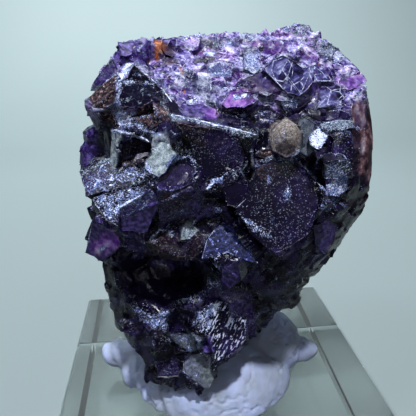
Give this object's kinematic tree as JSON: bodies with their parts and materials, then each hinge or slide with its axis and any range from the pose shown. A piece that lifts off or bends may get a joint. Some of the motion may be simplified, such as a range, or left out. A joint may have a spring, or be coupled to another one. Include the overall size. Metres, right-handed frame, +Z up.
{
  "type": "phantom fluorite specimen on a display block",
  "caption": "Dark violet fluorite cluster with frosted cubes, pressed into mounting putty on a clear square block.",
  "frame": {"origin": "centre of the clear block's underside", "axes": "+Z up through the block and the stone, +Y away from the viewer, +X to the viewer's right"},
  "size_m": [0.0508, 0.0508, 0.0803],
  "materials": {
    "fluorite": "glassy cleaved and frosted crystal",
    "putty": "matte hand-pressed putty",
    "acrylic": "clear polished"
  },
  "bodies": {
    "root": {"fluorite": "fluorite", "mounting_putty": "putty", "acrylic_block": "acrylic"}
  },
  "joints": []
}
